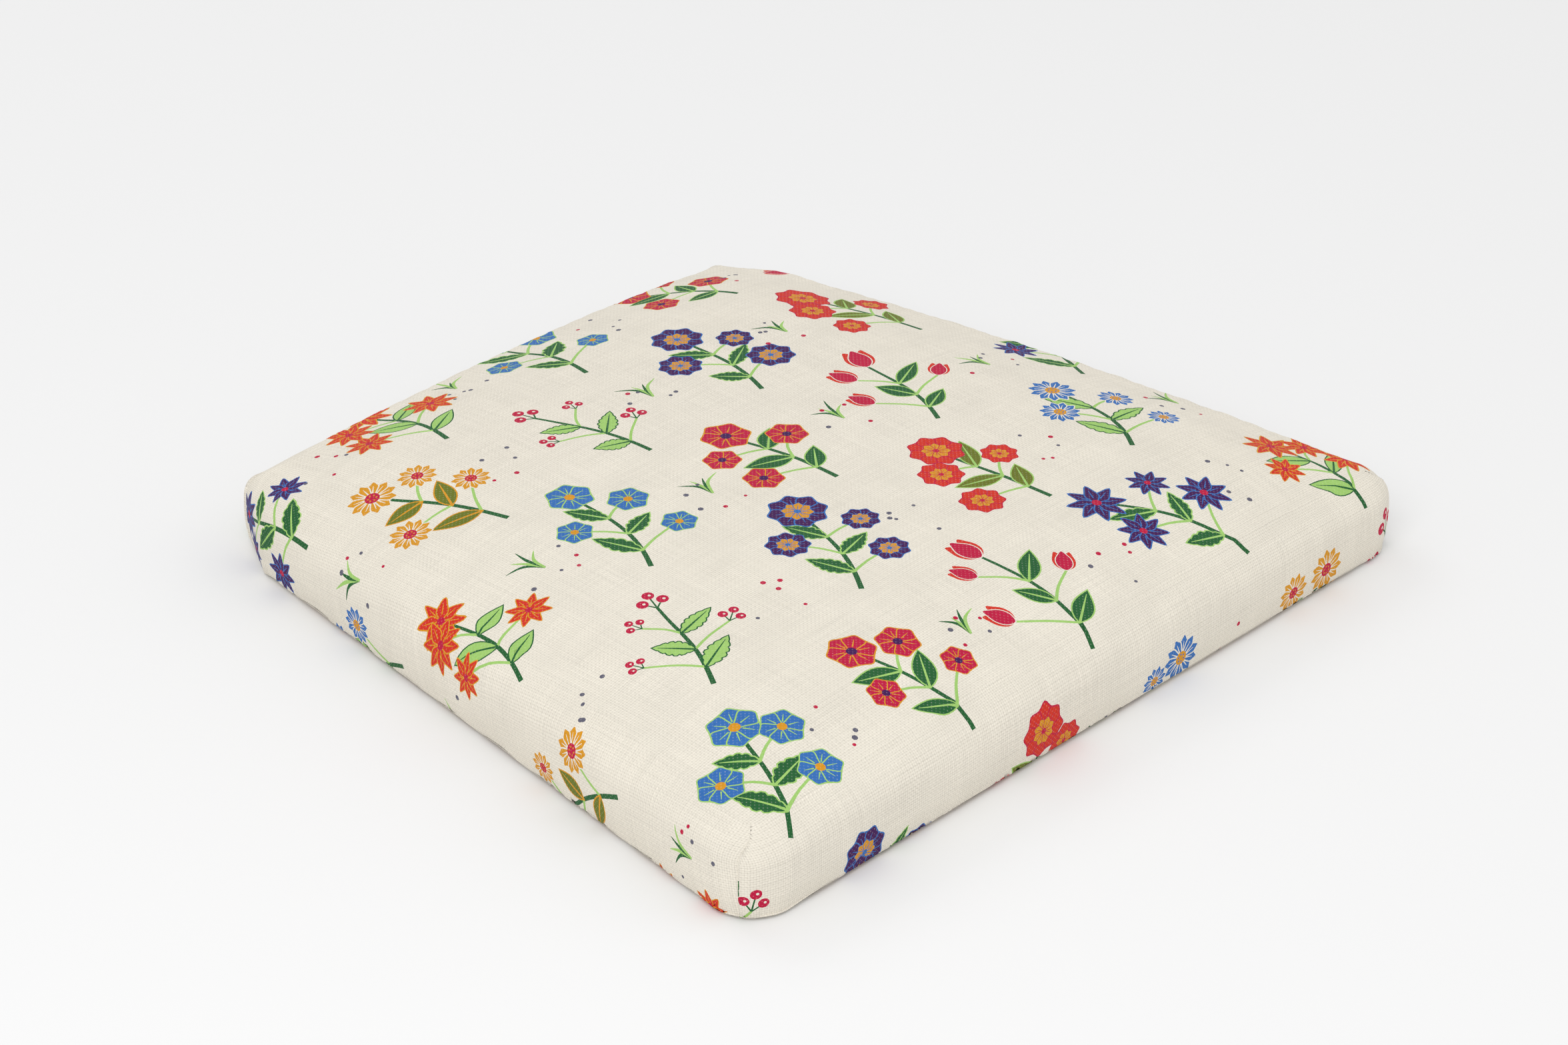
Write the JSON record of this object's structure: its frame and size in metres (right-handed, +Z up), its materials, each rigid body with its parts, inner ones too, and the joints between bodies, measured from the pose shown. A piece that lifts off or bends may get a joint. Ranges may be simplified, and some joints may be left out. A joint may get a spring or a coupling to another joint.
{
  "type": "chair seat pad",
  "caption": "Upholstered drop-in seat pad: a doweled wood frame with webbing, foam and wadding under a taut cloth cover with a floral print, to rest in a chair's seat rails.",
  "frame": {"origin": "bottom centre of the bounding box: on the underside, halfway between the sides and between the front and the back edge", "axes": "+X towards the right side of the pad for a viewer who faces the chair's front, +Y from the front edge towards the back edge, +Z up through the thickness"},
  "size_m": [0.4528, 0.41, 0.062],
  "materials": {
    "rail_wood": "matte",
    "dowel_wood": "matte",
    "webbing_jute": "matte",
    "hessian": "matte",
    "foam_crown": "matte",
    "foam_slab": "matte",
    "wadding": "matte",
    "calico": "matte",
    "print_cloth": "matte",
    "bottom_cloth": "matte",
    "staple_steel": "satin"
  },
  "bodies": {
    "root": {"front_rail": "rail_wood", "back_rail": "rail_wood", "left_rail": "rail_wood", "right_rail": "rail_wood", "dowel_front_left_inner": "dowel_wood", "dowel_front_left_outer": "dowel_wood", "dowel_front_right_inner": "dowel_wood", "dowel_front_right_outer": "dowel_wood", "dowel_back_left_inner": "dowel_wood", "dowel_back_left_outer": "dowel_wood", "dowel_back_right_inner": "dowel_wood", "dowel_back_right_outer": "dowel_wood", "webbing_long_1": "webbing_jute", "webbing_long_2": "webbing_jute", "webbing_long_3": "webbing_jute", "webbing_long_4": "webbing_jute", "webbing_cross_1": "webbing_jute", "webbing_cross_2": "webbing_jute", "webbing_cross_3": "webbing_jute", "hessian": "hessian", "foam_crown": "foam_crown", "foam_slab": "foam_slab", "wadding": "wadding", "calico_undercover": "calico", "top_cover": "print_cloth", "bottom_cloth": "bottom_cloth", "staple_front_1": "staple_steel", "staple_front_2": "staple_steel", "staple_front_3": "staple_steel", "staple_front_4": "staple_steel", "staple_front_5": "staple_steel", "staple_front_6": "staple_steel", "staple_front_7": "staple_steel", "staple_front_8": "staple_steel", "staple_right_1": "staple_steel", "staple_right_2": "staple_steel", "staple_right_3": "staple_steel", "staple_right_4": "staple_steel", "staple_right_5": "staple_steel", "staple_right_6": "staple_steel", "staple_right_7": "staple_steel", "staple_back_1": "staple_steel", "staple_back_2": "staple_steel", "staple_back_3": "staple_steel", "staple_back_4": "staple_steel", "staple_back_5": "staple_steel", "staple_back_6": "staple_steel", "staple_left_1": "staple_steel", "staple_left_2": "staple_steel", "staple_left_3": "staple_steel", "staple_left_4": "staple_steel", "staple_left_5": "staple_steel", "staple_left_6": "staple_steel", "staple_left_7": "staple_steel"}
  },
  "joints": []
}
